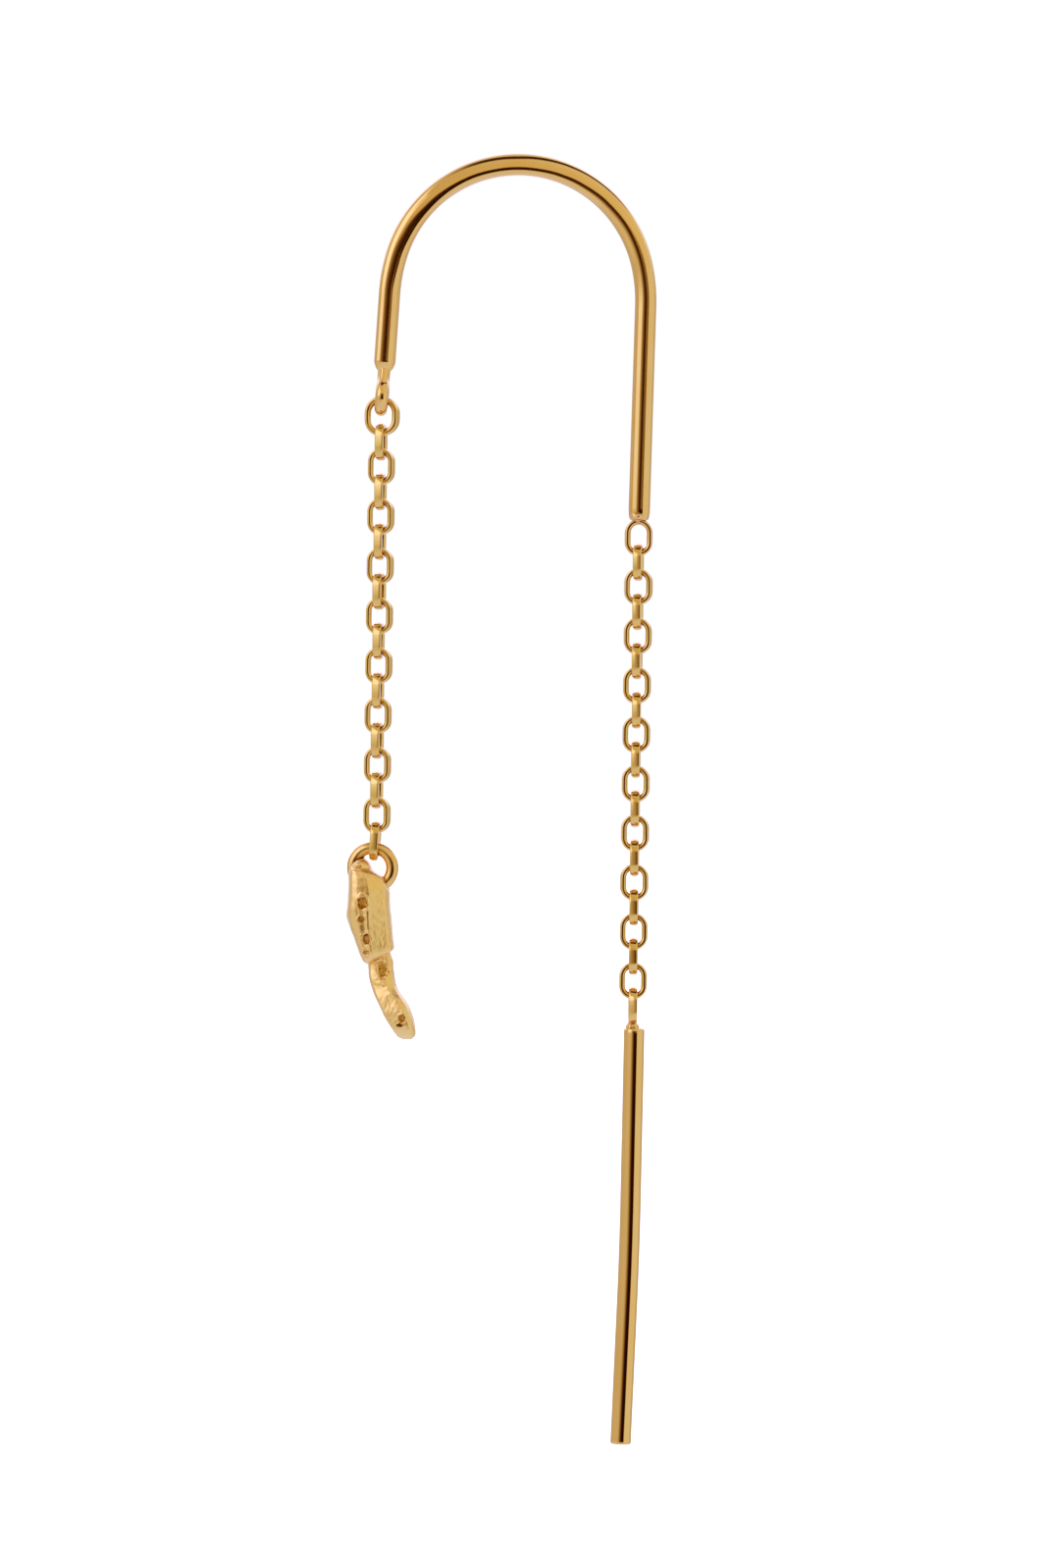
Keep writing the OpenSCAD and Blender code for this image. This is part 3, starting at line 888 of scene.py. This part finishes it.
def lobe_mesh(name, rows, sides=96):
    """A lobe of the charm, lofted through its sections."""
    rings = []
    for left_x, left_z, right_x, right_z, middle_y, depth, rise in spline_rows(rows, 6):
        facets = between(FACETS, (left_z + right_z) / 2)
        ring = []
        for c, s in circle(sides):
            if s > 0:
                across, back = (1 + squared(c, BACK_SQUARENESS)) / 2, depth * squared(s, BACK_SQUARENESS)
            else:
                across = (1 + c) / 2
                back = -depth * front_share(across, *facets)
            ring.append(Vector((
                mixed(left_x, right_x, across), middle_y + back,
                mixed(left_z, right_z, across) + rise * back)))
        rings.append(ring)
    return tube_mesh(name, rings)


def remeshed(mesh, cell):
    """A mesh rebuilt in even cells, with its shells fused."""
    work = new_object(mesh.name, mesh)
    step = work.modifiers.new("Cells", "REMESH")
    step.mode = "VOXEL"
    step.voxel_size = cell
    soften = work.modifiers.new("Soften", "SMOOTH")
    soften.factor = 0.5
    soften.iterations = 4
    return settled(work)


def line_distance(point, x0, z0, x1, z1):
    """Distance in the front plane from a point to a stretch of line."""
    start, along = Vector((x0, z0)), Vector((x1 - x0, z1 - z0))
    place = Vector((point.x, point.z)) - start
    t = clamped(place.dot(along) / along.length_squared)
    return (place - t * along).length


def charm_relief(point, normal, grain):
    """How far the cast surface stands out at a point."""
    facing = sqrt(max(-normal.y, 0.0))
    left_side = smooth(0.1, -0.3, normal.x) if point.z > TAIL_TOP else 1.0
    height = grain * mixed(0.3, 1.0, left_side) * noise.noise(point * WAVE_NOISE)
    height += 0.3 * grain * noise.noise(point * GRAIN_NOISE)
    upright = Vector((point.x, point.y, 0.5 * point.z))
    height += 0.4 * grain * smooth(0.1, 0.6, point.x) * noise.noise(upright * STREAK_NOISE)
    for x, z, half_w, half_h, depth in DENTS:
        reach = sqrt(((point.x - x) / half_w) ** 2 + ((point.z - z) / half_h) ** 2)
        reach += RAGGED * noise.noise(point * RAGGED_NOISE)
        inside = 1 - smooth(0.6, 1.05, reach)
        height -= depth * facing * inside
        height += PIT_ROUGHNESS * depth * facing * inside * noise.noise(point * PIT_NOISE)
        height += RIM * depth * facing * (1 - smooth(0.0, 0.3, abs(reach - RIM_REACH)))
    for x, z, radius, rise in KNOBS:
        reach = Vector((point.x - x, point.z - z)).length / radius
        height += rise * facing * (1 - smooth(0.2, 1.0, reach))
    for x0, z0, x1, z1, half_w, depth in CREASES:
        height -= depth * facing * (1 - smooth(0.0, 1.0, line_distance(point, x0, z0, x1, z1) / half_w))
    return height


class EARRING_OT_charm(bpy.types.Operator):
    """Build the cast charm with its dents and the ring's tunnel"""

    bl_idname = "earring.charm"
    bl_label = "Charm"

    def execute(self, context):
        sizes, chain = context.scene.charm_sizes, context.scene.chain_sizes
        ring_centre = box_centre("jump_ring")
        body = combined(lobe_mesh("upper_lobe", UPPER_LOBE), lobe_mesh("tail_lobe", TAIL_LOBE), "UNION")
        body = remeshed(body, CELL)
        grain = mm(sizes.grain_depth)
        moves = [v.normal * charm_relief(v.co, v.normal, grain) for v in body.vertices]
        for vertex, move in zip(body.vertices, moves):
            vertex.co += move
        body.transform(Matrix.Translation(ring_centre))
        tunnel = torus_mesh(
            "tunnel", ring_centre, chain.lean, chain.short_twist, mm(sizes.jump_r),
            mm(sizes.jump_wire) / 2 + mm(sizes.tunnel_gap), steps=64, sides=24)
        body = combined(body, tunnel, "DIFFERENCE")
        # The dents' floors get the darker cast skin: unpolished skin and painted shade
        pits = [
            (ring_centre + Vector((x, -FRONT_DEPTH, z)),
             (PIT_SHARE * half_w, FRONT_DEPTH, PIT_SHARE * half_h))
            for x, z, half_w, half_h, _ in DENTS]
        add_piece(
            "cast_charm", body, "charm_drop", "Cast gold", ["charm"],
            crease=radians(60), patch="Cast skin and shade", blobs=pits)
        return {"FINISHED"}


LINK_PLAY = 0.035  # play between the bar's link and the last long link, in millimetres
BAR_STEPS = 240
NEAR_TOP, NEAR_BEVEL = 0.2, 0.02  # how close the bar's plain rings come to its ends, in millimetres
# Rings of the bar's rounded top: distance below the top and how much thinner, in millimetres; and
# those of the free end's bevel: distance above the tip and how much thinner, in shares of the bevel
BAR_TOP = [(0.0, 0.1), (0.02, 0.04), (0.06, 0.012), (0.12, 0.0)]
BEVEL_RINGS = [(1.0, 0.0), (0.4, 0.35), (0.1, 0.8), (0.0, 1.0)]


class EARRING_OT_bar(bpy.types.Operator):
    """Build the round bar with its soldered link"""

    bl_idname = "earring.bar"
    bl_label = "Bar"

    def execute(self, context):
        sizes, chain = context.scene.bar_sizes, context.scene.chain_sizes
        pivot = Vector(JOINTS["bar_swing"]["pos_m"]) / MM
        hang = mm(chain.inner_l) / 2 - mm(chain.wire_w) / 2 - LINK_PLAY
        loop_centre = pivot + hang * down(chain.lean)
        drop = mm(chain.inner_l) / 2 + mm(chain.wire_t) + mm(sizes.drop)
        top = loop_centre + Vector((mm(sizes.shift), 0, -drop))
        radius, bevel = mm(sizes.thickness) / 2, mm(sizes.bevel)
        upper_l, bend_l = mm(sizes.upper_l), mm(sizes.bend_l)
        total = upper_l + bend_l + mm(sizes.lower_l)
        step = total / BAR_STEPS
        rings = [
            self.section(top + down(sizes.lean) * inset, sizes.lean, radius - cut) for inset, cut in BAR_TOP]
        tip = Vector(top)
        for i in range(BAR_STEPS + 1):
            run = step * i
            lean = sizes.lean + sizes.bend * clamped((run - upper_l) / bend_l)
            if NEAR_TOP < run < total - bevel - NEAR_BEVEL:
                rings.append(self.section(tip, lean, radius))
            if i < BAR_STEPS:
                tip = tip + down(lean) * step
        for inset, cut in BEVEL_RINGS:
            rings.append(self.section(tip - down(lean) * inset * bevel, lean, radius - cut * bevel))
        rod = tube_mesh("rod", rings)
        loop = end_link_mesh("bar_loop", chain, loop_centre, pi / 2, chain.bar_tilt)
        place, radii, seed = BAR_SOLDER
        blob = (Vector((loop_centre.x, 0, top.z)) + Vector(place), radii)
        mesh = fused([rod, loop, blob_mesh("bar_solder", *blob, seed)])
        add_piece(
            "round_bar", mesh, "bar_drop", "Bar gold", ["bar"],
            patch="Solder gold", blobs=[blob])
        return {"FINISHED"}

    def section(self, place, lean, radius):
        """One ring across the bar."""
        return wire_ring(place, Vector((cos(lean), 0, -sin(lean))), radius, WIRE_SIDES)


# The studio's light by direction. A zone is a product of smooth steps: axis, where it is 0 and where
# it is 1. Azimuth, from the camera's side, and elevation are in degrees. The zones lie over a white
# tent that is duller at the left, each over those before it.
TENT_LEVELS = (0.62, 0.76)
ZONES = [  # level, steps
    (0.74, [("elevation", -18, -45)]),  # floor
    (0.7, [("azimuth", -125, -95), ("azimuth", -36, -48), ("elevation", -36, -24), ("elevation", -5, -13)]),
    (0.58, [("y", 0.0, 0.5), ("elevation", -45, -15)]),  # behind
    (1.2, [("y", 0.15, 0.7), ("z", 0.1, 0.5)]),  # above behind
    (1.0, [("y", 0.86, 0.95)]),  # straight behind
    (0.06, [("arc", -0.25, -0.13), ("arc", 0.25, 0.13), ("z", 0.3, 0.5), ("x", -0.52, -0.24),
            ("x", 0.76, 0.6)]),  # dark gap overhead
    (None, [("azimuth", -41, 3), ("azimuth", 35, 27), ("elevation", -24, -16), ("elevation", 18, 10)]),
    (1.4, [("azimuth", -84, -68), ("azimuth", -27, -35), ("elevation", -6, 20), ("slanted", 19, 9)]),
]
# The zone without a level is the camera's dark opening, less dark under its hood
OPENING_LEVELS = (0.02, 0.25)
HOOD = [("azimuth", 2, 14), ("elevation", -2, 3)]
WARM_LEVEL = 0.72  # light duller than this is warmer
GREEN_POWER, BLUE_POWER, MOST_GREEN = 0.45, 1.15, 1.1  # by how much
WHITE = (1, 1, 1, 1)
TINTS = [  # share of the green and of the blue, steps
    (0.9, 0.65, [("elevation", 6, 18), ("elevation", 67, 43), ("y", 0.1, -0.3)]),  # gold over the front
    (1.04, 1.25, [("y", -0.15, 0.35)]),  # paler behind
    (1.03, 1.3, [("elevation", -20, -40)]),  # paper below
]


def light_axes(tree):
    """The directions' axes by name, with the bent line of the gap overhead and the soft box's slant."""
    x, y, z = add_node(tree, "SeparateXYZ", {0: add_node(tree, "TexCoord").outputs["Generated"]}).outputs
    azimuth = maths(tree, "DEGREES", maths(tree, "ARCTAN2", x, maths(tree, "MULTIPLY", y, -1.0)))
    elevation = maths(tree, "DEGREES", maths(tree, "ARCSINE", z))

    def plus(value, slope, offset):
        return add_node(tree, "Math", {0: value, 1: slope, 2: offset}, operation="MULTIPLY_ADD").outputs[0]

    bend = plus(maths(tree, "ABSOLUTE", x), 0.62, plus(x, 0.22, -0.24))
    return {
        "x": x, "y": y, "z": z, "azimuth": azimuth, "elevation": elevation,
        "arc": maths(tree, "SUBTRACT", y, bend), "slanted": plus(azimuth, 0.55, elevation)}


def zone_mask(tree, axes, steps):
    """Mask of a zone."""
    mask = None
    for axis, nothing, all_of_it in steps:
        step = stepped(tree, axes[axis], nothing, all_of_it)
        mask = step if mask is None else maths(tree, "MULTIPLY", mask, step)
    return mask


def light_level(tree, axes):
    """How bright the light is from each direction."""
    level = stepped(tree, axes["x"], -0.7, 0.7, *TENT_LEVELS)
    opening = mixed_value(tree, zone_mask(tree, axes, HOOD), *OPENING_LEVELS)
    for zone_level, steps in ZONES:
        level = mixed_value(
            tree, zone_mask(tree, axes, steps), level, opening if zone_level is None else zone_level)
    return level


def light_tint(tree, axes, level):
    """The light's colour from each direction."""
    warmth = maths(tree, "DIVIDE", level, WARM_LEVEL)
    green = maths(tree, "POWER", maths(tree, "MINIMUM", warmth, MOST_GREEN), GREEN_POWER)
    blue = maths(tree, "POWER", warmth, BLUE_POWER)
    for green_share, blue_share, steps in TINTS:
        mask = zone_mask(tree, axes, steps)
        green = maths(tree, "MULTIPLY", green, mixed_value(tree, mask, 1.0, green_share))
        blue = maths(tree, "MULTIPLY", blue, mixed_value(tree, mask, 1.0, blue_share))
    return add_node(tree, "CombineColor", {0: 1.0, 1: green, 2: blue}).outputs[0]


class EARRING_OT_studio(bpy.types.Operator):
    """Set up the camera, the pale floor and the soft studio light"""

    bl_idname = "earring.studio"
    bl_label = "Studio"

    def execute(self, context):
        setup = context.scene.studio_setup
        self.add_camera(context, setup)
        self.add_floor(setup)
        self.add_light(context)
        context.scene.view_settings.view_transform = "Standard"
        return {"FINISHED"}

    def add_camera(self, context, setup):
        """The camera straight in front, at the distance where the picture has its height."""
        data = bpy.data.cameras.new("Studio camera")
        data.lens = setup.lens
        data.sensor_width = 36.0
        data.clip_start = 0.005
        camera = new_object("Studio camera", data)
        distance = setup.picture_h * setup.lens / data.sensor_width
        camera.location = (setup.centre_x, -distance, setup.centre_z)
        camera.rotation_euler = (pi / 2, 0, 0)
        context.scene.camera = camera

    def add_floor(self, setup):
        """A pale floor below the earring, which the gold doesn't mirror."""
        half = setup.floor_size / 2
        corners = [(-half, -half, 0), (half, -half, 0), (half, half, 0), (-half, half, 0)]
        mesh = bpy.data.meshes.new("Pale floor")
        mesh.from_pydata(corners, [], [(0, 1, 2, 3)])
        material = bpy.data.materials.new("Pale paper")
        material.use_nodes = True
        feed(material.node_tree, material.node_tree.nodes["Principled BSDF"], {
            "Base Color": (0.9, 0.9, 0.9, 1), "Roughness": 0.9, "Emission Color": WHITE,
            "Emission Strength": 0.8})
        mesh.materials.append(material)
        floor = new_object("pale_floor", mesh)
        floor.location = (0, 0, -setup.floor_drop)
        floor.visible_glossy = False

    def add_light(self, context):
        """A white tent with a dark opening for the camera, a soft box at the left and a gap overhead."""
        world = bpy.data.worlds.new("Soft studio")
        world.use_nodes = True
        context.scene.world = world
        tree = world.node_tree
        axes = light_axes(tree)
        level = light_level(tree, axes)
        tint = light_tint(tree, axes, level)
        seen = add_node(tree, "LightPath").outputs["Is Camera Ray"]
        feed(tree, tree.nodes["Background"], {
            "Strength": mixed_value(tree, seen, level, 1.0),
            "Color": mixed_colour(tree, seen, tint, WHITE)})


PIECES = [
    EARRING_OT_ear_arch, EARRING_OT_top_ring, EARRING_OT_short_chain, EARRING_OT_long_chain,
    EARRING_OT_jump_ring, EARRING_OT_charm, EARRING_OT_bar, EARRING_OT_studio,
]
SETTINGS = {
    "arch_sizes": ArchSizes, "chain_sizes": ChainSizes, "charm_sizes": CharmSizes,
    "bar_sizes": BarSizes, "gold_finish": GoldFinish, "studio_setup": StudioSetup,
}


class EARRING_PT_panel(bpy.types.Panel):
    """Lists the earring's pieces"""

    bl_idname = "EARRING_PT_panel"
    bl_label = "Chain earring"
    bl_space_type = "VIEW_3D"
    bl_region_type = "UI"
    bl_category = "Earring"

    def draw(self, context):
        for piece in PIECES:
            self.layout.operator(piece.bl_idname)
        for name, kind in SETTINGS.items():
            box = self.layout.box()
            box.label(text=name.replace("_", " ").capitalize())
            for key in kind.__annotations__:
                box.prop(getattr(context.scene, name), key)


def register():
    for kind in SETTINGS.values():
        bpy.utils.register_class(kind)
    for name, kind in SETTINGS.items():
        setattr(bpy.types.Scene, name, bpy.props.PointerProperty(type=kind))
    for kind in PIECES + [EARRING_PT_panel]:
        bpy.utils.register_class(kind)


def unregister():
    for kind in [EARRING_PT_panel] + PIECES[::-1]:
        bpy.utils.unregister_class(kind)
    for name, kind in SETTINGS.items():
        delattr(bpy.types.Scene, name)
        bpy.utils.unregister_class(kind)


def main():
    register()
    make_finishes()
    for piece in PIECES:
        group, name = piece.bl_idname.split(".")
        getattr(getattr(bpy.ops, group), name)()


if __name__ == "__main__":
    main()
